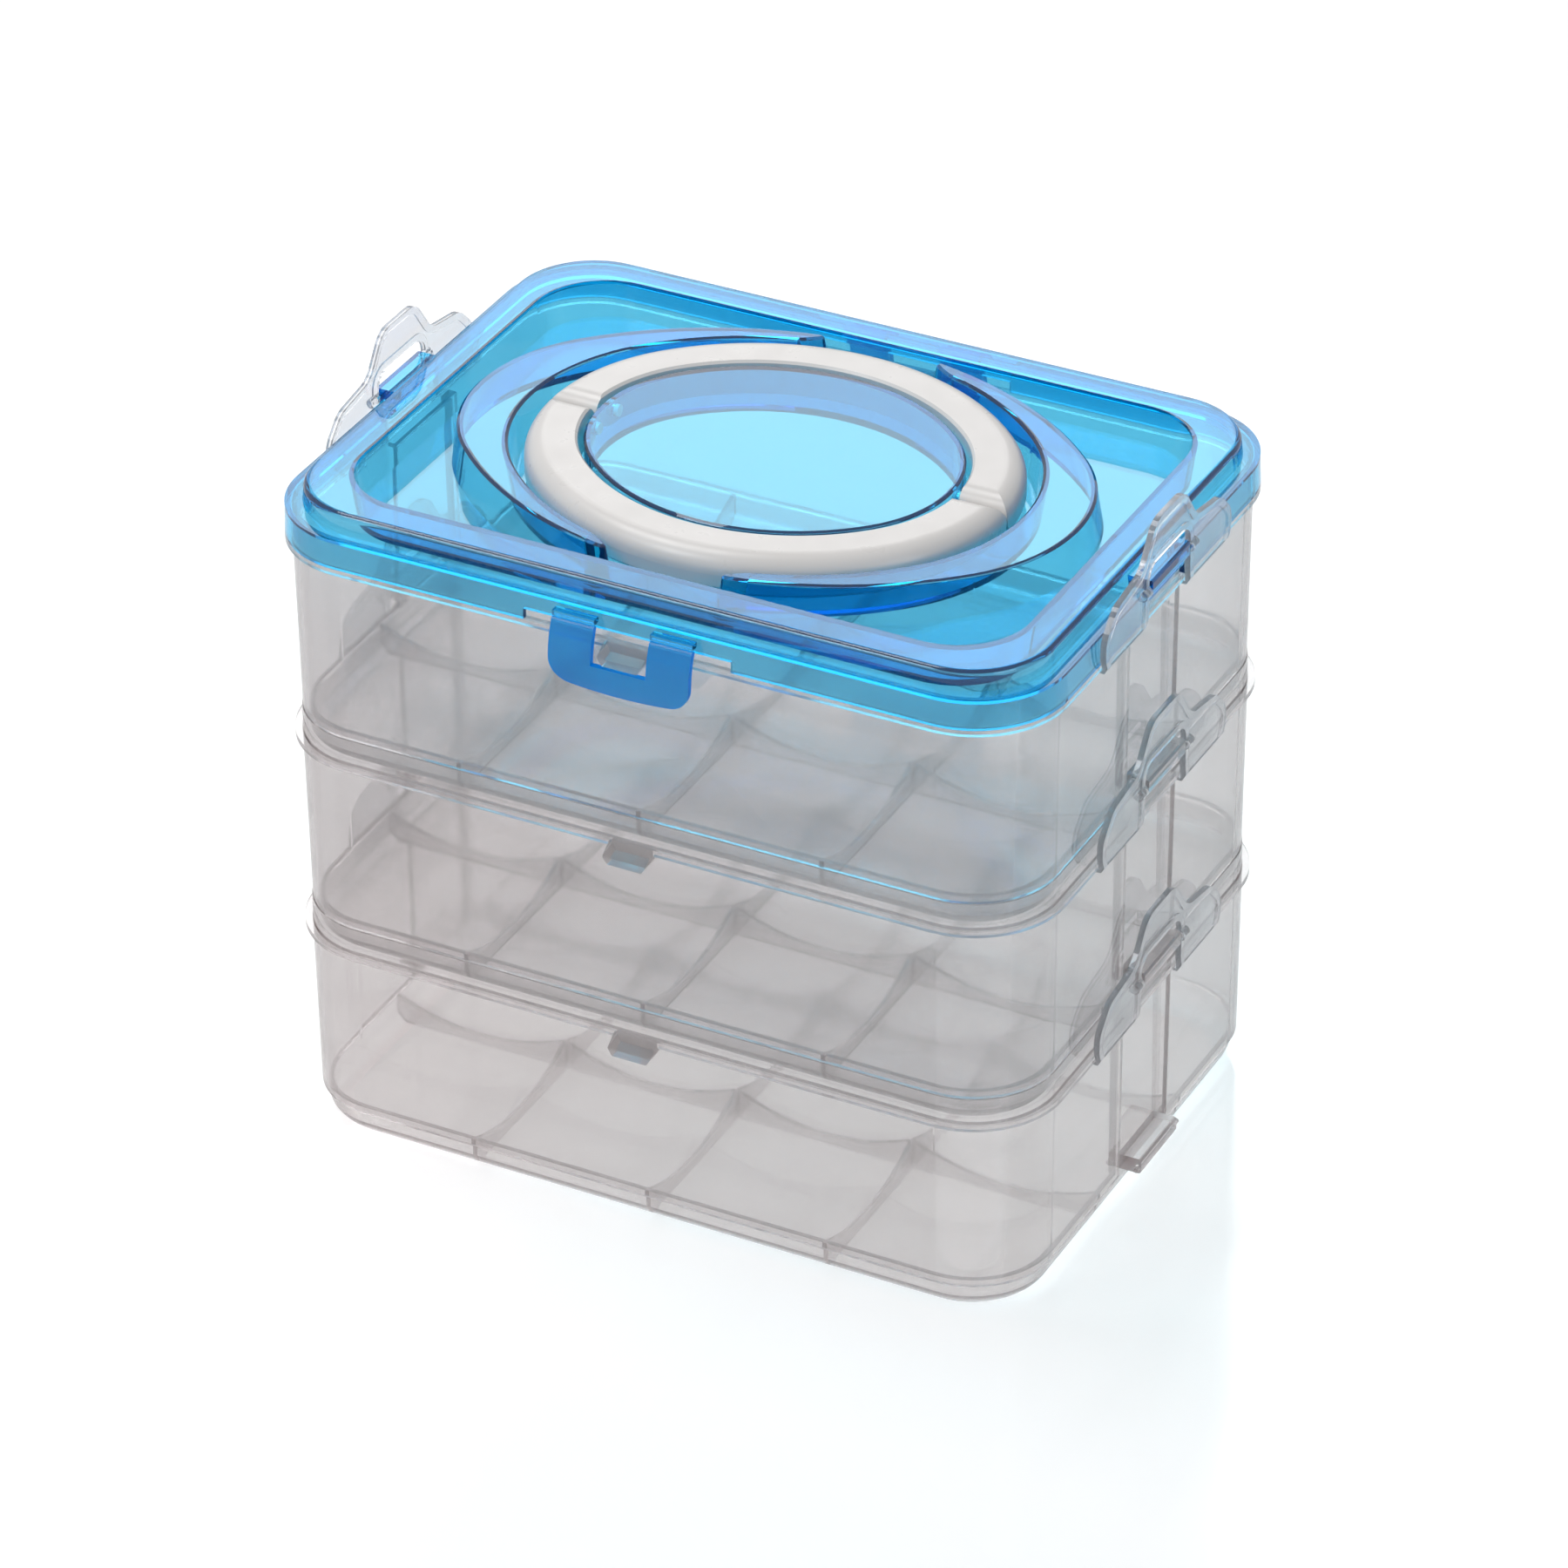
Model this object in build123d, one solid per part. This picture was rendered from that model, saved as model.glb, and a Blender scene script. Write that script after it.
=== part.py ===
from build123d import *
import os
from math import atan2, degrees, sqrt

# A stack of three clear egg trays under a blue lid with a split ring handle.
# Millimetres, +Z up, origin on the table under the middle of the lower tray, front at -Y.

# Plan of the box
width = 204.0
depth = 150.0
corner_radius = 23.5

# Tray walls, given as insets from the plan of the flange
tray_wall = 1.4
floor_thickness = 1.5
body_inset_top = 1.8
body_inset_shoulder = 2.2
collar_wall = 1.2
nest_gap = 0.4
seat_gap = 0.2

# Tray heights above its own underside
shoulder_height = 8.1
flange_height = 54.8
flange_thickness = 1.6
collar_height = 7.8
base_edge_radius = 5.5
floor_edge_chamfer = 2.4

# Egg places on the tray floor
egg_columns = 4
egg_rows = 3
rib_thickness = 1.2
rib_height = 7.5
rib_low_height = 2.5
rib_crest = 3.0
rib_root = 0.3

# Catch under the flange, front and rear
catch_width_top = 11.6
catch_width_bottom = 9.2
catch_height = 3.0
catch_lip = 1.0
catch_reach = 3.8

# Panel let into each short side, where a clip is pressed
side_panel_width = 27.0
side_panel_depth = 1.9
side_panel_margin = 1.4

# Lug and stub pins that carry a side clip
lug_width = 20.6
lug_above = 2.3
lug_below = 1.9
lug_reach = 2.2
lug_edge_radius = 0.8
pivot_out = 1.4
stub_diameter = 1.4
stub_length = 1.7

# Side clip, heights measured from its pivot
clip_thickness = 1.5
clip_gap = 0.3
clip_half_length = 35.0
clip_tab_height = 17.0
clip_tab_half_width = 8.0
clip_waist_height = 6.8
clip_waist_at = 15.0
clip_shoulder_height = 4.6
clip_shoulder_at = 29.0
clip_end_top = -1.5
clip_end_low = -6.5
clip_foot_at = 33.0
clip_bend_radius = 6.5
clip_foot_radius = 1.5
foot_chamfer_height = 2.2
foot_chamfer_depth = 1.3
arch_clearance = 1.2
arch_height = 6.2
arch_corner_radius = 4.0
arch_foot_spread = 1.0
arch_foot_height = 5.0
hook_reach = 1.3
hook_thickness = 0.9
hook_gap = 0.25
ear_diameter = 2.8
ear_length = 3.0
pin_clearance = 0.2
clip_bead_width = 1.9
clip_bead_height = 0.45

# Lid
lid_wall = 1.4
skirt_draft = 0.3
skirt_gap = 0.3
skirt_above_flange = 0.1
ledge_width = 3.7
rim_height = 4.9
rim_draft = 0.6
rim_corner_radius = 21.0
rim_edge_round = 1.6
rim_band = 9.2
well_depth = 9.3
well_draft = 1.5
well_corner_radius = 18.5

# Plateaus beside the handle, and the channel between them that the handle lies in
channel_end_gap = 4.4
channel_side_gap = 1.9
plateau_rise = 0.8
plateau_end_width = 14.5
plateau_side_width = 3.4
plateau_draft = 1.6
plateau_tip_at = 13.0
plateau_tip_radius = 0.9
plateau_flare_at = 20.0
plateau_flare_radius = 14.0
plateau_edge_chamfer = 0.6

# Oval window in the middle of the lid
disc_rise = 2.2
disc_half_length = 47.2
disc_half_depth = 38.9
disc_edge_chamfer = 0.6

# Split ring handle
handle_gap = 1.5
handle_band = 12.9
handle_proud = 0.3
handle_end_radius = 4.8
handle_split_gap = 0.4
handle_outer_round = 5.2
handle_lower_chamfer = 1.4
handle_inner_chamfer = 0.6
handle_pin_diameter = 3.0
handle_pin_reach = 2.6
handle_pin_clearance = 0.2

# Front and rear latch
latch_width = 36.9
latch_thickness = 1.6
latch_gap = 0.9
latch_hinge_below_ledge = 4.3
latch_drop = 15.5
latch_bottom_bow = 1.6
latch_corner_radius = 6.0
latch_bulge = 2.0
latch_bulge_drop = 8.8
latch_bottom_out = 1.4
latch_window_width = 14.6
latch_catch_gap = 0.3
latch_bar_height = 1.4
latch_bar_gap = 0.3
latch_bar_setback = 0.6
front_notch_width = 54.6
side_notch_width = 25.0
skirt_notch_height = 2.8

# How far a cut runs past a face, and how deep a joined piece bites into its neighbour
overrun = 1.0
bite = 0.5

# Places that follow from the sizes above
tray_height = flange_height + collar_height
collar_inset = lid_wall + skirt_draft + skirt_gap
foot_inset = collar_inset + collar_wall + nest_gap
pitch = tray_height - shoulder_height + seat_gap
upper_base = 2 * pitch
lid_seat = upper_base + tray_height + seat_gap
ledge_top = lid_seat + lid_wall
skirt_bottom = upper_base + flange_height + flange_thickness + skirt_above_flange
rim_top = ledge_top + rim_height
well_floor = rim_top - well_depth
plateau_top = rim_top + plateau_rise
disc_top = rim_top + disc_rise
handle_top = disc_top + handle_proud
handle_height = 2 * handle_end_radius
handle_pivot_y = handle_end_radius + handle_split_gap / 2
handle_pivot_z = handle_top - handle_end_radius
channel_half_length = disc_half_length + handle_gap + handle_band + channel_end_gap
channel_half_depth = disc_half_depth + handle_gap + handle_band + channel_side_gap
plateau_half_length = channel_half_length + plateau_end_width
plateau_half_depth = channel_half_depth + plateau_side_width
pivot_x = width / 2 + pivot_out
pivot_above_flange = collar_height + seat_gap + lug_below
clip_inner_x = width / 2 + clip_gap
clip_foot_depth = pivot_above_flange + hook_gap + hook_thickness
latch_hinge_z = ledge_top - latch_hinge_below_ledge
latch_inner_y = depth / 2 + latch_gap
latch_hinge_y = latch_inner_y + latch_thickness / 2


def outline(inset, z, radius=None):
    """Rounded rectangle at height z, inside the plan of the box by inset."""
    r = corner_radius - inset if radius is None else radius
    return Pos(0, 0, z) * RectangleRounded(width - 2 * inset, depth - 2 * inset, r)


def block(inset, low, high, radius=None):
    """Straight block over one outline."""
    return extrude(outline(inset, low, radius), high - low)


def tapered(inset_low, low, inset_high, high, radius_low=None):
    """Block whose walls lean by the same amount all round."""
    lean = degrees(atan2(inset_high - inset_low, high - low))
    return extrude(outline(inset_low, low, radius_low), high - low, taper=lean)


def box_between(x, y, z):
    """Box from three (low, high) pairs."""
    size = [pair[1] - pair[0] for pair in (x, y, z)]
    centre = [(pair[1] + pair[0]) / 2 for pair in (x, y, z)]
    return Pos(*centre) * Box(*size)


def both_sides(shape):
    """A shape on the right and its mirror image on the left."""
    return [shape, mirror(shape, Plane.YZ)]


def front_and_rear(shape):
    """A shape at the front and its mirror image at the rear."""
    return [shape, mirror(shape, Plane.XZ)]


def rod_along_y(x, z, start, end, diameter):
    """Round rod parallel to Y."""
    return Pos(x, (start + end) / 2, z) * Rot(90, 0, 0) * Cylinder(diameter / 2, end - start)


def rod_along_x(y, z, start, end, diameter):
    """Round rod parallel to X."""
    return Pos((start + end) / 2, y, z) * Rot(0, 90, 0) * Cylinder(diameter / 2, end - start)


def oval(half_length, half_depth):
    """Oval of four tangent arcs that meet where they run at 45 degrees."""
    shift = (half_length - half_depth) / (2 - sqrt(2))
    end_radius = half_length - shift
    y = end_radius * sqrt(0.5)
    x = shift + y
    arcs = [ThreePointArc((x, -y), (half_length, 0), (x, y)),
            ThreePointArc((x, y), (0, half_depth), (-x, y)),
            ThreePointArc((-x, y), (-half_length, 0), (-x, -y)),
            ThreePointArc((-x, -y), (0, -half_depth), (x, -y))]
    return make_face(arcs)


def oval_height(half_length, half_depth, x):
    """Height y of the upper long arc of an oval at x."""
    shift = (half_length - half_depth) / (2 - sqrt(2))
    return sqrt((half_depth + shift) ** 2 - x ** 2) - shift


def low_edges(shape):
    """Edges of the lowest level of a shape."""
    return shape.edges().group_by(Axis.Z)[0]


# Egg tray

def side_panel(wall):
    """Space taken from a short side by the panel, or left behind it when wall is given."""
    face = width / 2 - body_inset_shoulder - side_panel_depth - wall
    half = side_panel_width / 2 + wall
    top = flange_height - side_panel_margin + wall
    return box_between((face, width), (-half, half), (shoulder_height + wall, top))


def tray_shell():
    """Thin wall with a nesting foot, a shoulder, a flange and a collar."""
    foot = block(foot_inset, 0, shoulder_height)
    foot = fillet(low_edges(foot), base_edge_radius)
    body = tapered(body_inset_shoulder, shoulder_height, body_inset_top, flange_height)
    flange = block(0, flange_height, flange_height + flange_thickness)
    collar = block(collar_inset, flange_height, tray_height)
    solid = foot + body + flange + collar
    for cut in both_sides(side_panel(0)):
        solid -= cut

    low = block(foot_inset + tray_wall, floor_thickness, shoulder_height + tray_wall)
    low = chamfer(low_edges(low), floor_edge_chamfer)
    main = tapered(body_inset_shoulder + tray_wall, shoulder_height + tray_wall,
                   body_inset_top + tray_wall, flange_height + flange_thickness)
    mouth = block(collar_inset + collar_wall, flange_height + flange_thickness, tray_height + overrun)
    hollow = low + main + mouth
    for pad in both_sides(side_panel(tray_wall)):
        hollow -= pad
    ribs = Part() + egg_ribs()
    return solid - hollow + (ribs & low)


def scalloped_rib(length, places):
    """Low rib standing on the floor, dipping once in each egg place, drawn in the XZ plane."""
    step = length / places
    base = floor_thickness - rib_root
    dip = floor_thickness + rib_low_height
    top = floor_thickness + rib_height
    start = -length / 2
    lines = Line((start, base), (start, top))
    for place in range(places):
        left = start + place * step + (rib_crest / 2 if place else 0)
        right = start + (place + 1) * step - (rib_crest / 2 if place < places - 1 else 0)
        if place:
            lines += Line((left - rib_crest, top), (left, top))
        lines += ThreePointArc((left, top), ((left + right) / 2, dip), (right, top))
    lines += Line((-start, top), (-start, base))
    lines += Line((-start, base), (start, base))
    face = Plane.XZ * make_face(lines)
    return extrude(face, rib_thickness / 2, both=True)


def egg_ribs():
    """Cross ribs that part the floor into egg places, ending inside the tray wall."""
    reach = foot_inset + tray_wall
    length = width - 2 * reach
    breadth = depth - 2 * reach
    ribs = []
    for row in range(1, egg_rows):
        y = -breadth / 2 + row * breadth / egg_rows
        ribs.append(Pos(0, y, 0) * scalloped_rib(length, egg_columns))
    for column in range(1, egg_columns):
        x = -length / 2 + column * length / egg_columns
        ribs.append(Pos(x, 0, 0) * Rot(0, 0, 90) * scalloped_rib(breadth, egg_rows))
    return ribs


def catch():
    """Wedge in front of the flange that a latch snaps over, slanting back towards its top."""
    top = flange_height + flange_thickness
    low = flange_height - catch_height
    turn = flange_height - catch_lip
    a = catch_width_top / 2
    b = catch_width_bottom / 2
    front = Plane.XZ * make_face(Polyline((-a, top), (a, top), (a, turn), (b, low), (-b, low), (-a, turn),
                                          close=True))
    root = depth / 2 - body_inset_top - tray_wall / 2
    tip = depth / 2 + catch_reach
    wedge = extrude(front, tip)
    side = Plane.YZ * make_face(Polyline((-root, low), (-tip, low), (-tip, turn), (-depth / 2, top),
                                         (-root, top), close=True))
    return wedge & extrude(side, a, both=True)


def lug(z, root_x):
    """Bar with a stub pin at each end that carries a clip on the right side."""
    half = lug_width / 2
    tip = width / 2 + lug_reach
    bar = box_between((root_x, tip), (-half, half), (z - lug_below, z + lug_above))
    bar = fillet(bar.edges().filter_by(Axis.Y).group_by(Axis.X)[-1], lug_edge_radius)
    pin = rod_along_y(pivot_x, z, -half - stub_length, half + stub_length, stub_diameter)
    return bar + pin


def tray():
    """One egg tray, standing on z = 0."""
    shell = tray_shell()
    panel_face = width / 2 - body_inset_shoulder - side_panel_depth
    lug_z = flange_height + pivot_above_flange - pitch
    pieces = front_and_rear(catch())
    pieces += both_sides(lug(lug_z, panel_face - tray_wall / 2))
    return shell.fuse(*pieces).clean()


# Lid

def slanted_keep():
    """Plan to the right of the two slants that cut off the plateau near the middle of each long side."""
    tip_y = oval_height(plateau_half_length, plateau_half_depth, plateau_tip_at)
    flare_y = oval_height(channel_half_length, channel_half_depth, plateau_flare_at)
    run = plateau_flare_at - plateau_tip_at
    drop = tip_y - flare_y
    far = (plateau_tip_at - run, tip_y + drop)
    near = (plateau_flare_at + run, flare_y - drop)
    return make_face(Polyline(far, near, (near[0], -near[1]), (far[0], -far[1]),
                              (width, -far[1]), (width, far[1]), close=True))


def crescent_face():
    """Right plateau in plan: the space between two ovals, to the right of the slants."""
    ring = oval(plateau_half_length, plateau_half_depth) - oval(channel_half_length, channel_half_depth)
    face = ring & slanted_keep()
    flares = face.vertices().group_by(Axis.X)[1]
    face = fillet(flares, plateau_flare_radius)
    return fillet(face.vertices().group_by(Axis.X)[0], plateau_tip_radius)


def crescent_hollow_face():
    """Plan of the hollow under the plateau: one wall inside it, and ending where its slants begin."""
    outer = oval(plateau_half_length - lid_wall, plateau_half_depth - lid_wall)
    inner = oval(channel_half_length + lid_wall, channel_half_depth + lid_wall)
    start = plateau_flare_at + lid_wall
    return (outer - inner) & Pos((start + width) / 2, 0) * Rectangle(width - start, depth)


def crescent(face, low, high):
    """Right plateau, or the hollow under it, as a block that spreads downwards."""
    lean = degrees(atan2(plateau_draft, plateau_top - well_floor))
    return extrude(Pos(0, 0, high) * face, high - low, dir=(0, 0, -1), taper=-lean)


def oval_block(half_length, half_depth, low, high):
    """Upright oval block."""
    return Pos(0, 0, low) * extrude(oval(half_length, half_depth), high - low)


def lid_solid():
    """Outside of the lid as one solid."""
    skirt = tapered(0, skirt_bottom, skirt_draft, ledge_top)
    foot = skirt_draft + ledge_width
    rim = tapered(foot, ledge_top - bite, foot + rim_draft, rim_top, rim_corner_radius)
    rim = fillet(rim.edges().group_by(Axis.Z)[-1], rim_edge_round)
    well_top = foot + rim_draft + rim_band
    well = tapered(well_top + well_draft, well_floor, well_top, rim_top, well_corner_radius - well_draft)
    disc = oval_block(disc_half_length, disc_half_depth, well_floor - bite, disc_top)
    disc = chamfer(disc.edges().group_by(Axis.Z)[-1], disc_edge_chamfer)
    plateau = crescent(crescent_face(), well_floor - bite, plateau_top)
    plateau = chamfer(plateau.edges().group_by(Axis.Z)[-1], plateau_edge_chamfer)
    solid = skirt + rim - well + disc
    for part in both_sides(plateau):
        solid += part
    return solid


def lid_hollow():
    """Space under the lid that leaves one wall thickness everywhere."""
    t = lid_wall
    foot = skirt_draft + ledge_width
    skirt = tapered(t, skirt_bottom - overrun, t + skirt_draft, lid_seat)
    rim = tapered(foot + t, lid_seat - overrun, foot + rim_draft + t, rim_top - t, rim_corner_radius - t)
    well_top = foot + rim_draft + rim_band - t
    well = tapered(well_top + well_draft, well_floor - t, well_top, rim_top,
                   well_corner_radius - well_draft + t)
    disc = oval_block(disc_half_length - t, disc_half_depth - t, well_floor - t - overrun, disc_top - t)
    hollow = skirt + rim - well + disc
    for part in both_sides(crescent(crescent_hollow_face(), well_floor - t - overrun, plateau_top - t)):
        hollow += part
    return hollow


def latch_bars():
    """Two short bars on the front of the skirt that the latch legs hang from."""
    low = latch_hinge_z + latch_thickness / 2 + latch_bar_gap
    front = latch_inner_y + latch_thickness - latch_bar_setback
    root = depth / 2 - skirt_draft - lid_wall / 2
    bar = box_between((latch_window_width / 2, latch_width / 2), (-front, -root), (low, low + latch_bar_height))
    return both_sides(bar)


def skirt_notches():
    """Shallow notches in the lower edge of the skirt, behind the latches and below the lugs."""
    low = skirt_bottom - overrun
    high = skirt_bottom + skirt_notch_height
    wall = lid_wall + skirt_draft
    front = front_notch_width / 2
    side = side_notch_width / 2
    notches = front_and_rear(box_between((-front, front), (-depth, wall - depth / 2), (low, high)))
    notches += both_sides(box_between((width / 2 - wall, width), (-side, side), (low, high)))
    return notches


def lid():
    """Lid shell with its lugs, latch bars, notches and handle sockets."""
    shell = lid_solid() - lid_hollow()
    lug_z = upper_base + flange_height + pivot_above_flange
    wall_x = width / 2 - skirt_draft - ledge_width - lid_wall / 2
    extra = both_sides(lug(lug_z, wall_x))
    for bar in latch_bars():
        extra += front_and_rear(bar)
    shell = shell.fuse(*extra)
    for cut in skirt_notches():
        shell -= cut
    hole = handle_pin_diameter + 2 * handle_pin_clearance
    start = disc_half_length - handle_pin_reach - handle_pin_clearance - overrun
    for y in (-handle_pivot_y, handle_pivot_y):
        for cut in both_sides(rod_along_x(y, handle_pivot_z, start, disc_half_length + overrun, hole)):
            shell -= cut
    return shell


# Handle

def handle_front_half():
    """Front half of an oval ring whose two ends are round about their pivots."""
    a = disc_half_length + handle_gap
    b = disc_half_depth + handle_gap
    low = handle_top - handle_height
    ring = oval_block(a + handle_band, b + handle_band, low, handle_top)
    ring = fillet(ring.edges().group_by(Axis.Z)[-1], handle_outer_round)
    ring = chamfer(low_edges(ring), handle_lower_chamfer)
    eye = oval_block(a, b, low - overrun, handle_top + overrun)
    ring -= eye
    inner_edges = [e for e in ring.edges().group_by(Axis.Z)[-1] if e.bounding_box().max.X < a + overrun]
    ring = chamfer(inner_edges, handle_inner_chamfer)
    keep = box_between((-width, width), (-depth, -handle_pivot_y), (low - overrun, handle_top + overrun))
    keep += rod_along_x(-handle_pivot_y, handle_pivot_z, -width, width, handle_height)
    half = ring & keep
    tip = disc_half_length - handle_pin_reach
    pin = rod_along_x(-handle_pivot_y, handle_pivot_z, tip, a + handle_band / 2, handle_pin_diameter)
    return half.fuse(*both_sides(pin))


# Latch

def latch_profile():
    """Cross-section of the latch in the YZ plane, bowed outwards over the catch."""
    top = latch_hinge_z
    middle = top - latch_bulge_drop
    low = top - latch_drop
    outer = latch_inner_y + latch_thickness
    front = ThreePointArc((-outer, top), (-outer - latch_bulge, middle), (-outer - latch_bottom_out, low))
    back = ThreePointArc((-latch_inner_y - latch_bottom_out, low), (-latch_inner_y - latch_bulge, middle),
                         (-latch_inner_y, top))
    closing = [Line(front @ 1, back @ 0), Line(back @ 1, front @ 0)]
    return Plane.YZ * make_face([front, closing[0], back, closing[1]])


def front_latch():
    """U-shaped latch plate hanging from its hinge line."""
    half = latch_width / 2
    low = latch_hinge_z - latch_drop
    side = low + latch_bottom_bow
    top = latch_hinge_z
    edge = Polyline((-half, side), (-half, top), (half, top), (half, side))
    bow = ThreePointArc((half, side), (0, low), (-half, side))
    face = make_face(edge + bow)
    face = fillet(face.vertices().group_by(Axis.Y)[0], latch_corner_radius)
    plate = extrude(Plane.XZ * face, depth) & extrude(latch_profile(), half, both=True)
    knuckle = rod_along_x(-latch_hinge_y, latch_hinge_z, -half, half, latch_thickness)
    sill = upper_base + flange_height - catch_height - latch_catch_gap
    gap = latch_window_width / 2
    window = box_between((-gap, gap), (-depth, 0), (sill, top + latch_thickness))
    return plate + knuckle - window


# Side clip

def clip_face():
    """Bow-shaped outline in Y and Z about the pivot."""
    corners = [(clip_tab_half_width, clip_tab_height), (clip_waist_at, clip_waist_height),
               (clip_shoulder_at, clip_shoulder_height), (clip_half_length, clip_end_top),
               (clip_half_length, clip_end_low), (clip_foot_at, -clip_foot_depth)]
    mirrored = [(-y, z) for y, z in reversed(corners)]
    face = make_face(Polyline(*corners, *mirrored, close=True))
    foot = face.vertices().group_by(Axis.Y)[0]
    rest = [v for v in face.vertices() if v not in foot]
    return fillet(fillet(rest, clip_bend_radius).vertices().group_by(Axis.Y)[0], clip_foot_radius)


def arch_face():
    """Opening for the lug, straight sided above and spreading towards its foot."""
    half = lug_width / 2 + arch_clearance
    foot = -clip_foot_depth - overrun
    turn = -clip_foot_depth + arch_foot_height
    spread = half + arch_foot_spread
    face = make_face(Polyline((-half, arch_height), (half, arch_height), (half, turn), (spread, foot),
                              (-spread, foot), (-half, turn), close=True))
    return fillet(face.vertices().group_by(Axis.Y)[-1], arch_corner_radius)


def clip_ear(side):
    """Round ear beside the lug with its pin hole, as the solid to add and the hole to cut."""
    start = lug_width / 2 + arch_clearance
    hole = stub_diameter + 2 * pin_clearance
    solid = sorted((side * start, side * (start + ear_length)))
    cut = sorted((side * (start - overrun), side * (lug_width / 2 + stub_length + pin_clearance)))
    return (rod_along_y(pivot_x, 0, solid[0], solid[1], ear_diameter),
            rod_along_y(pivot_x, 0, cut[0], cut[1], hole))


def foot_slant():
    """Space taken off the outer lower edge of the clip, which slants in towards its hook."""
    outer = clip_inner_x + clip_thickness
    low = -clip_foot_depth
    corner = Polyline((outer + overrun, low + foot_chamfer_height), (outer, low + foot_chamfer_height),
                      (outer - foot_chamfer_depth, low), (outer - foot_chamfer_depth, low - overrun),
                      (outer + overrun, low - overrun), close=True)
    return extrude(Plane.XZ * make_face(corner), width, both=True)


def right_clip():
    """Clip on the right side, its pivot at height zero."""
    plate = Pos(clip_inner_x, 0, 0) * extrude(Plane.YZ * clip_face(), clip_thickness)
    sunk = offset(clip_face(), -clip_bead_width) - offset(arch_face(), clip_bead_width)
    sunk_from = clip_inner_x + clip_thickness - clip_bead_height
    panel = Pos(sunk_from, 0, 0) * extrude(Plane.YZ * sunk, clip_bead_height + overrun)
    hook = box_between((clip_inner_x - hook_reach, clip_inner_x + clip_thickness / 2),
                       (-clip_foot_at, clip_foot_at), (-clip_foot_depth, -clip_foot_depth + hook_thickness))
    opening = Pos(clip_inner_x - hook_reach - overrun, 0, 0) * extrude(
        Plane.YZ * arch_face(), clip_thickness + hook_reach + 2 * overrun)
    clip = plate + hook - panel - opening - foot_slant()
    for side in (1, -1):
        ear, hole = clip_ear(side)
        clip = clip + ear - hole
    return clip


# Pieces by the name of their node

def build():
    """All pieces in place, by node name."""
    pieces = {}
    one_tray = tray()
    for level, name in enumerate(("lower_tray", "middle_tray", "upper_tray")):
        pieces[name] = Pos(0, 0, level * pitch) * one_tray
    pieces["lid"] = lid()
    handle = handle_front_half()
    pieces["handle_front_half"] = handle
    pieces["handle_rear_half"] = mirror(handle, Plane.XZ)
    latch = front_latch()
    pieces["front_latch"] = latch
    pieces["rear_latch"] = mirror(latch, Plane.XZ)
    right, left = both_sides(right_clip())
    for level, name in enumerate(("middle_tray", "upper_tray", "lid")):
        lift = Pos(0, 0, level * pitch + flange_height + pivot_above_flange)
        pieces[name + "_clip_right"] = lift * right
        pieces[name + "_clip_left"] = lift * left
    return pieces


os.makedirs("parts", exist_ok=True)
for node, shape in build().items():
    export_step(shape, "parts/" + node + ".step")
print("pitch", round(pitch, 2), "rim", round(rim_top, 2), "handle", round(handle_top, 2))
print("latch hinge", round(latch_hinge_y, 2), round(latch_hinge_z, 2), "clip pivot", round(pivot_x, 2),
      round(flange_height + pivot_above_flange, 2), "handle pivot", handle_pivot_y, round(handle_pivot_z, 2))
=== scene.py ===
"""Looks of the egg storage basket: clear trays and clips, a translucent blue lid and an off-white handle.

The moulded pieces come from the frame. This script gives them their plastics, and sets up the floor, the
lamps and the camera.
"""
import math

import bpy
import numpy as np
from mathutils import Matrix, Vector


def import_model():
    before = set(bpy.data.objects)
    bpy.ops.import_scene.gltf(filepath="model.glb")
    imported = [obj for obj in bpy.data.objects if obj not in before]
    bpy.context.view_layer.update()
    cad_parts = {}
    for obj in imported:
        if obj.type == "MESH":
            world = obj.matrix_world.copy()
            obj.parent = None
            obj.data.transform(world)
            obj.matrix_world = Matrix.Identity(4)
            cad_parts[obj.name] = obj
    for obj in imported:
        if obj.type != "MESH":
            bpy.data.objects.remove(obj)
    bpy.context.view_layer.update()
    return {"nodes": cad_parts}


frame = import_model()

MM = 0.001

# Camera solved from the outlines of the photograph, in degrees and millimetres
AZIMUTH = 27.632
ELEVATION = 32.244
ROLL = -0.639
DISTANCE = 1817.1
SIDE_SHIFT = 1.4
HEIGHT_SHIFT = 75.2
BASE_OFFSET = 3.2
FOCAL_PIXELS = 8282.0
FRAME_PIXELS = 1800.0
SENSOR_MM = 36.0

# Studio: strengths of the light, half the floor's side in metres, and the point in millimetres that lamps face
FILL_STRENGTH = 0.35
BACKGROUND_STRENGTH = 1.0
FLOOR_GLOW = 0.38
FLOOR_HALF = 3.0
LAMP_AIM = (0, 0, 90)

# Share of a lamp's light that gets through each surface of a clear wall
LAMP_PASS = 0.97
# Size of the patches in which a moulded surface is a little rougher or smoother, and by how much
POLISH_GRAIN = 9.0
POLISH_SPREAD = 0.4

# Handle, in millimetres: patches of tone and of gloss, and the grain of the mould. The real grain is finer
# than the render can show, so it is drawn coarser.
HANDLE_TONE_PATCH = 18.0
HANDLE_GLOSS_PATCH = 6.0
HANDLE_GRAIN = 0.5
HANDLE_GRAIN_DEPTH = 0.02

# A ray may cross a dozen clear walls, each with two surfaces
BOUNCES = 28
CLEAR_LAYERS = 40
INDIRECT_CLAMP = 2.0


def linear(code):
    """Linear red, green and blue of an sRGB hex colour such as "#3fa9e8"."""
    parts = [int(code[k:k + 2], 16) / 255 for k in (1, 3, 5)]
    return [c / 12.92 if c <= 0.04045 else ((c + 0.055) / 1.055) ** 2.4 for c in parts]


def rgba(code):
    """Linear colour with full alpha, as colour sockets take it."""
    return (*linear(code), 1.0)


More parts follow.
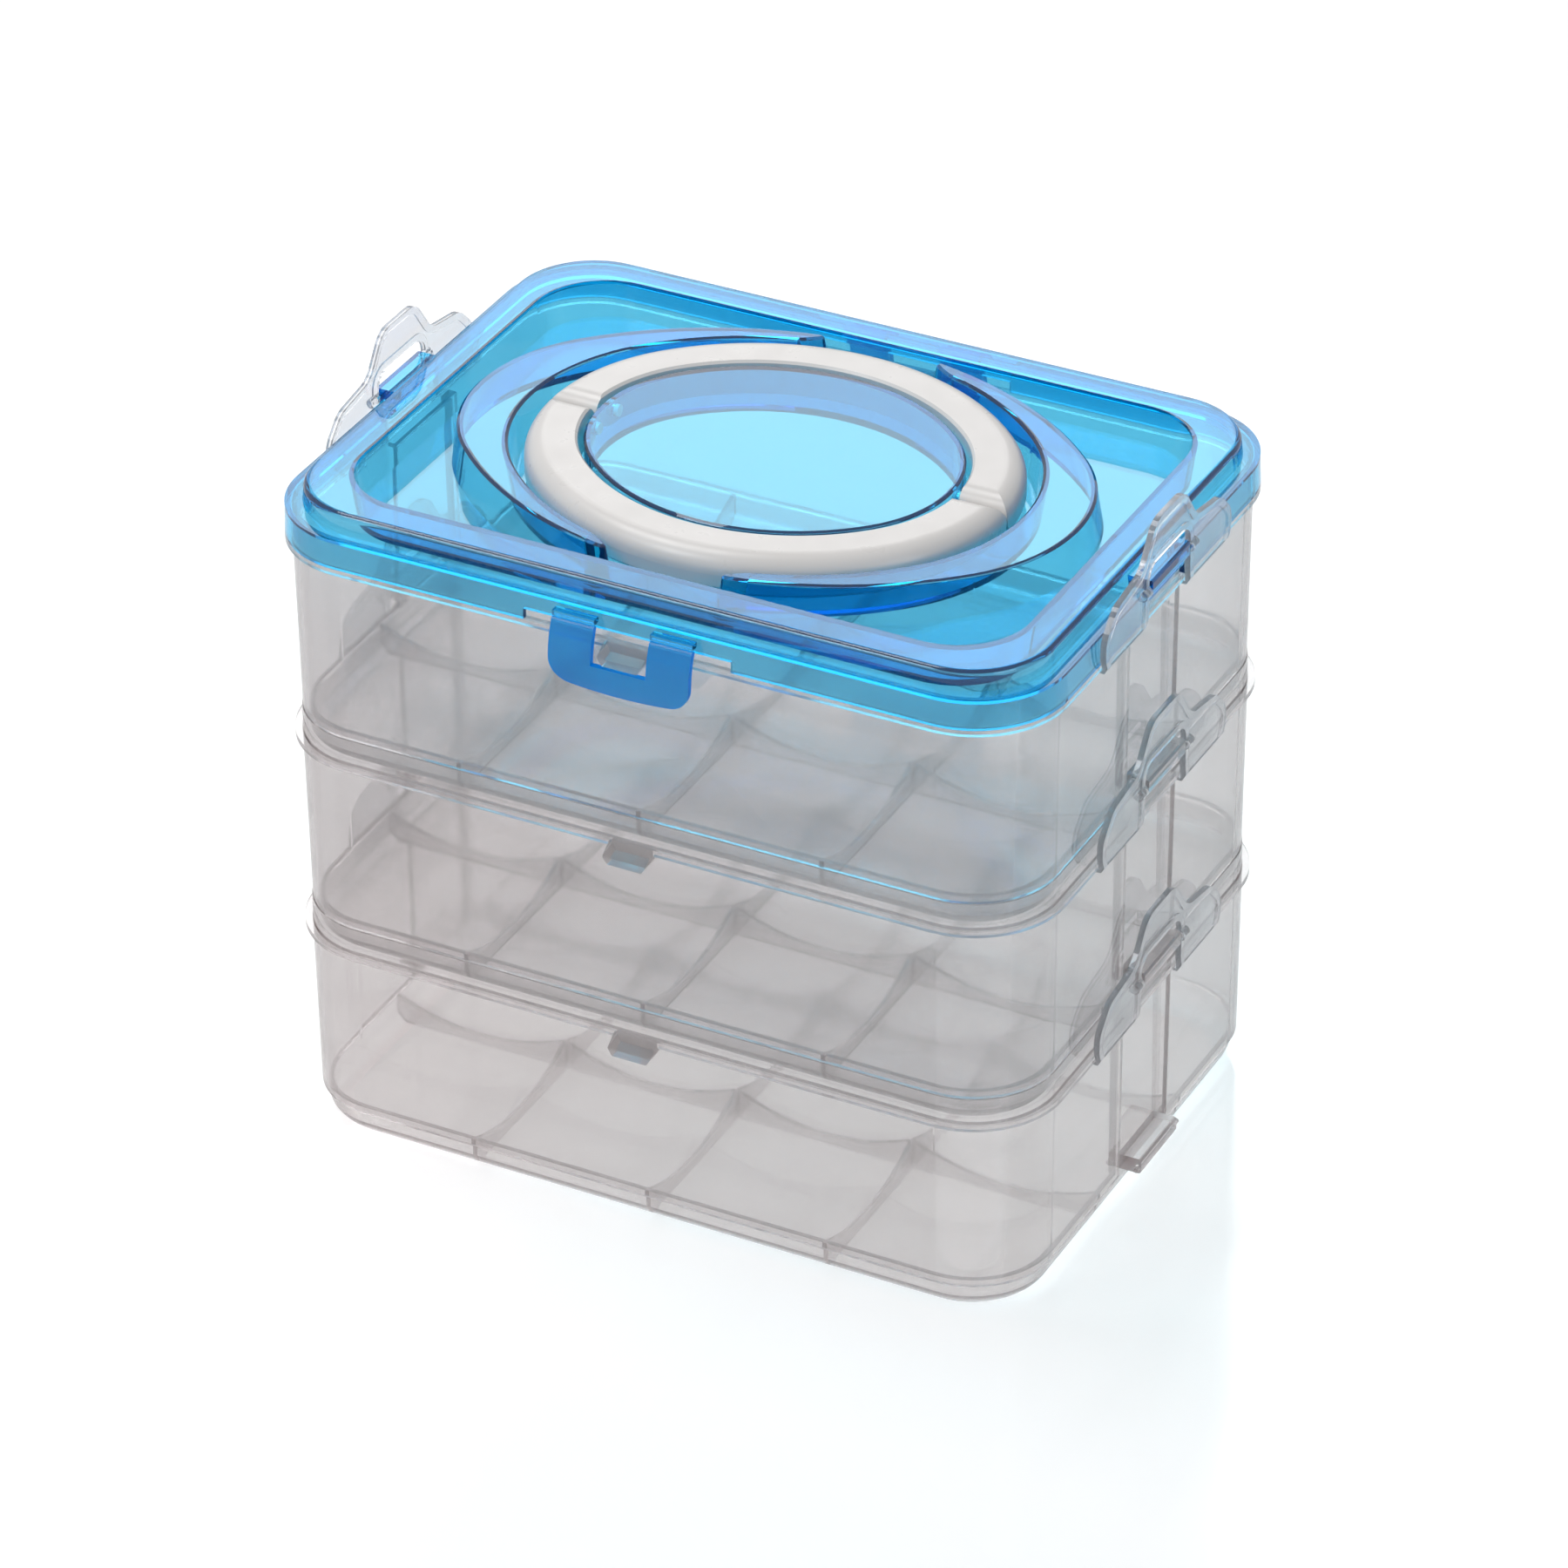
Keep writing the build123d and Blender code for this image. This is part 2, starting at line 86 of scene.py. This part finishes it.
def add(tree, kind, settings=None):
    """Adds a node and sets its properties, and its sockets by name or number.

    A socket whose value is another node's output is linked to it.
    """
    node = tree.nodes.new(kind)
    for name, value in (settings or {}).items():
        if isinstance(value, bpy.types.NodeSocket):
            tree.links.new(value, node.inputs[name])
        elif isinstance(name, str) and hasattr(node, name) and name not in node.inputs:
            setattr(node, name, value)
        else:
            node.inputs[name].default_value = value
    return node


def new_material(name):
    """Empty node material and its tree."""
    material = bpy.data.materials.new(name)
    material.use_nodes = True
    material.node_tree.nodes.clear()
    return material, material.node_tree


def moulded_waves(tree, size_mm, depth_mm, shift):
    """Normal of a surface with the faint slow waves that flow and shrinkage leave in a moulding."""
    place = add(tree, "ShaderNodeTexCoord")
    shifted = add(tree, "ShaderNodeMapping",
                  {"Location": (shift, shift / 2, 0.0), "Vector": place.outputs["Object"]})
    noise = add(tree, "ShaderNodeTexNoise", {"Scale": 1 / (size_mm * MM), "Detail": 2.0, "Roughness": 0.4,
                                             "Vector": shifted.outputs[0]})
    bump = add(tree, "ShaderNodeBump", {"Strength": 1.0, "Distance": depth_mm * MM, "Height": noise.outputs[0]})
    return bump.outputs[0]


def speckled_roughness(tree, low, high, grain_mm):
    """Roughness that drifts between two values over a grain of the given size."""
    place = add(tree, "ShaderNodeTexCoord")
    noise = add(tree, "ShaderNodeTexNoise",
                {"Scale": 1 / (grain_mm * MM), "Detail": 3.0, "Vector": place.outputs["Object"]})
    spread = add(tree, "ShaderNodeMapRange", {"From Min": 0.3, "From Max": 0.7, "To Min": low, "To Max": high,
                                              "Value": noise.outputs[0]})
    return spread.outputs[0]


def clear_plastic(name, haze, haze_share, straight_share, skin, tint, reach_mm, rough, waves):
    """Clear moulded plastic: polished refraction, some light that goes straight through, and milky haze.

    White light keeps the colour skin when it crosses one wall, however thick, and the colour tint as well for
    each reach_mm of its way inside. The haze takes haze_share of the light and scatters it both back and
    onwards, and straight_share of the rest goes straight through. Lamps pass through the surface nearly whole,
    so the walls cast faint shadows. waves holds the size and depth of the waves in millimetres, and a shift in
    metres that gives each plastic its own pattern.
    """
    material, tree = new_material(name)
    normal = moulded_waves(tree, *waves)
    polish = speckled_roughness(tree, rough * (1 - POLISH_SPREAD), rough * (1 + POLISH_SPREAD), POLISH_GRAIN)
    glass = add(tree, "ShaderNodeBsdfPrincipled", {"Base Color": rgba(skin), "Transmission Weight": 1.0,
                                                   "IOR": 1.49, "Roughness": polish, "Normal": normal})
    straight = add(tree, "ShaderNodeBsdfTransparent", {"Color": (1, 1, 1, 1)})
    back = add(tree, "ShaderNodeBsdfDiffuse", {"Color": rgba(haze), "Normal": normal})
    onwards = add(tree, "ShaderNodeBsdfTranslucent", {"Color": rgba(haze), "Normal": normal})
    milk = add(tree, "ShaderNodeMixShader", {"Fac": 0.5, 1: back.outputs[0], 2: onwards.outputs[0]})
    clear = add(tree, "ShaderNodeMixShader", {"Fac": straight_share, 1: glass.outputs[0], 2: straight.outputs[0]})
    body = add(tree, "ShaderNodeMixShader", {"Fac": haze_share, 1: clear.outputs[0], 2: milk.outputs[0]})
    rays = add(tree, "ShaderNodeLightPath")
    passing = add(tree, "ShaderNodeBsdfTransparent", {"Color": (LAMP_PASS, LAMP_PASS, LAMP_PASS, 1)})
    surface = add(tree, "ShaderNodeMixShader",
                  {"Fac": rays.outputs["Is Shadow Ray"], 1: body.outputs[0], 2: passing.outputs[0]})
    loss = [-math.log(c) / (reach_mm * MM) for c in linear(tint)]
    density = max(loss)
    colour = tuple(1 - part / density for part in loss) + (1.0,)
    inside = add(tree, "ShaderNodeVolumeAbsorption", {"Color": colour, "Density": density})
    add(tree, "ShaderNodeOutputMaterial", {"Surface": surface.outputs[0], "Volume": inside.outputs[0]})
    return material


def clear_tray():
    """Clarified polypropylene, injection moulded: glossy outside, milky enough to soften what is inside."""
    return clear_plastic("clarified_polypropylene_moulded", haze="#dad6d5", haze_share=0.12, straight_share=0.15,
                         skin="#fcfbfb", tint="#f6f4f4", reach_mm=2.0, rough=0.06, waves=(22.0, 0.05, 0.0))


def clear_clip():
    """The same clear plastic in thicker, more polished clips."""
    return clear_plastic("clear_plastic_clip_moulded", haze="#dcdcde", haze_share=0.09, straight_share=0.1,
                         skin="#fcfcfd", tint="#f3f3f4", reach_mm=2.0, rough=0.04, waves=(12.0, 0.04, 0.3))


def blue_lid():
    """Blue tinted polystyrene, injection moulded and polished: pale in thin walls, deep blue along edges."""
    return clear_plastic("blue_tinted_polystyrene_moulded", haze="#2f9fe8", haze_share=0.04, straight_share=0.0,
                         skin="#90dcf8", tint="#b4f3fb", reach_mm=1.7, rough=0.025, waves=(26.0, 0.05, 0.6))


def blue_latch():
    """The same blue plastic in the latches, deeper, because their own walls carry more of the tint."""
    return clear_plastic("blue_tinted_polystyrene_latch", haze="#1cb0f8", haze_share=0.4, straight_share=0.0,
                         skin="#6edaf8", tint="#b0eafb", reach_mm=1.7, rough=0.05, waves=(14.0, 0.04, 0.9))


def handle_abs():
    """Off-white ABS, injection moulded with a soft gloss: broad highlights and a barely seen fine grain."""
    material, tree = new_material("off_white_abs_moulded")
    place = add(tree, "ShaderNodeTexCoord").outputs["Object"]
    tone = add(tree, "ShaderNodeTexNoise", {"Scale": 1 / (HANDLE_TONE_PATCH * MM), "Detail": 2.0, "Vector": place})
    colour = add(tree, "ShaderNodeMix",
                 {"data_type": "RGBA", "Factor": tone.outputs[0], "A": rgba("#d8d5d2"), "B": rgba("#e0dddb")})
    grain = add(tree, "ShaderNodeTexNoise", {"Scale": 1 / (HANDLE_GRAIN * MM), "Detail": 2.0, "Vector": place})
    bump = add(tree, "ShaderNodeBump",
               {"Strength": 0.12, "Distance": HANDLE_GRAIN_DEPTH * MM, "Height": grain.outputs[0]})
    gloss = speckled_roughness(tree, low=0.26, high=0.36, grain_mm=HANDLE_GLOSS_PATCH)
    shader = add(tree, "ShaderNodeBsdfPrincipled",
                 {"Base Color": colour.outputs["Result"], "IOR": 1.53, "Roughness": gloss,
                  "Normal": bump.outputs[0]})
    add(tree, "ShaderNodeOutputMaterial", {"Surface": shader.outputs[0]})
    return material


def dress(names, material):
    """Gives CAD pieces a material in place of the one they came with."""
    for name in names:
        slots = frame["nodes"][name].data.materials
        slots.clear()
        slots.append(material)


def dress_all():
    """Every moulded piece in its plastic."""
    nodes = sorted(frame["nodes"])
    dress([n for n in nodes if n.endswith("_tray")], clear_tray())
    dress([n for n in nodes if "_clip_" in n], clear_clip())
    dress(["lid"], blue_lid())
    dress(["front_latch", "rear_latch"], blue_latch())
    dress(["handle_front_half", "handle_rear_half"], handle_abs())


def white_to_the_eye(tree):
    """1 for rays that show the background: camera, mirrored and refracted ones."""
    rays = add(tree, "ShaderNodeLightPath")
    shown = rays.outputs["Is Camera Ray"]
    for name in ("Is Glossy Ray", "Is Transmission Ray"):
        shown = add(tree, "ShaderNodeMath", {"operation": "MAXIMUM", 0: shown, 1: rays.outputs[name]}).outputs[0]
    return shown


def world():
    """White sky to the eye, and a soft even fill for the light on surfaces."""
    sky = bpy.data.worlds.new("studio")
    bpy.context.scene.world = sky
    sky.use_nodes = True
    tree = sky.node_tree
    tree.nodes.clear()
    fill = add(tree, "ShaderNodeBackground", {"Color": rgba("#f4f6f8"), "Strength": FILL_STRENGTH})
    seen = add(tree, "ShaderNodeBackground", {"Color": (1, 1, 1, 1), "Strength": BACKGROUND_STRENGTH})
    both = add(tree, "ShaderNodeMixShader", {"Fac": white_to_the_eye(tree), 1: fill.outputs[0], 2: seen.outputs[0]})
    add(tree, "ShaderNodeOutputWorld", {"Surface": both.outputs[0]})


def floor():
    """White table that keeps the shadow and a faint mirror image of the basket."""
    corners = [(x * FLOOR_HALF, y * FLOOR_HALF, 0) for x, y in ((-1, -1), (1, -1), (1, 1), (-1, 1))]
    mesh = bpy.data.meshes.new("floor")
    mesh.from_pydata(corners, [], [(0, 1, 2, 3)])
    table = bpy.data.objects.new("floor", mesh)
    bpy.context.scene.collection.objects.link(table)
    material, tree = new_material("white_table")
    gloss = add(tree, "ShaderNodeBsdfPrincipled", {"Base Color": rgba("#e6e6e6"), "Roughness": 0.12, "IOR": 1.5})
    glow = add(tree, "ShaderNodeEmission", {"Color": (1, 1, 1, 1), "Strength": FLOOR_GLOW})
    dark = add(tree, "ShaderNodeEmission", {"Color": (1, 1, 1, 1), "Strength": 0.0})
    lift = add(tree, "ShaderNodeMixShader", {"Fac": white_to_the_eye(tree), 1: dark.outputs[0], 2: glow.outputs[0]})
    total = add(tree, "ShaderNodeAddShader", {0: gloss.outputs[0], 1: lift.outputs[0]})
    add(tree, "ShaderNodeOutputMaterial", {"Surface": total.outputs[0]})
    mesh.materials.append(material)


def lamp(name, place_mm, size_mm, watts):
    """Square soft box at a place, aimed at the middle of the stack."""
    light = bpy.data.lights.new(name, "AREA")
    light.shape = "SQUARE"
    light.size = size_mm * MM
    light.energy = watts
    box = bpy.data.objects.new(name, light)
    bpy.context.scene.collection.objects.link(box)
    place = np.array(place_mm) * MM
    box.location = place
    away = Vector(place - np.array(LAMP_AIM) * MM)
    box.rotation_euler = away.to_track_quat("Z", "Y").to_matrix().to_euler()


def lamps():
    """A soft box overhead, one behind that the lid mirrors, one at the front left and a weaker one at the right."""
    lamp("overhead_box", place_mm=(-550, 0, 1290), size_mm=500, watts=5.2)
    lamp("rear_box", place_mm=(-720, 1370, 1120), size_mm=900, watts=5.2)
    lamp("left_box", place_mm=(-630, -850, 1200), size_mm=500, watts=5.0)
    lamp("right_box", place_mm=(1200, -500, 700), size_mm=600, watts=2.8)


def camera():
    """Camera of the photograph: turned to the azimuth and elevation, rolled a little, long lens."""
    az, el, roll = (math.radians(v) for v in (AZIMUTH, ELEVATION, ROLL))
    back = np.array([math.sin(az) * math.cos(el), -math.cos(az) * math.cos(el), math.sin(el)])
    right = np.array([math.cos(az), math.sin(az), 0.0])
    up = np.cross(back, right)
    axes = np.eye(4)
    axes[:3, 0] = math.cos(roll) * right + math.sin(roll) * up
    axes[:3, 1] = -math.sin(roll) * right + math.cos(roll) * up
    axes[:3, 2] = back
    axes[:3, 3] = (back * DISTANCE + right * SIDE_SHIFT + up * HEIGHT_SHIFT - np.array([0, 0, BASE_OFFSET])) * MM
    data = bpy.data.cameras.new("camera")
    data.sensor_width = SENSOR_MM
    data.lens = FOCAL_PIXELS * SENSOR_MM / FRAME_PIXELS
    data.clip_start = 0.05
    data.clip_end = 20.0
    view = bpy.data.objects.new("camera", data)
    bpy.context.scene.collection.objects.link(view)
    view.matrix_world = Matrix(axes.tolist())
    bpy.context.scene.camera = view


def light_paths():
    """Enough bounces for a ray to cross all the clear walls of the stack, and no bright specks."""
    paths = bpy.context.scene.cycles
    paths.max_bounces = BOUNCES
    paths.transmission_bounces = BOUNCES
    paths.transparent_max_bounces = CLEAR_LAYERS
    paths.caustics_reflective = False
    paths.sample_clamp_indirect = INDIRECT_CLAMP


dress_all()
world()
floor()
lamps()
camera()
light_paths()
bpy.context.scene.view_settings.view_transform = "Standard"
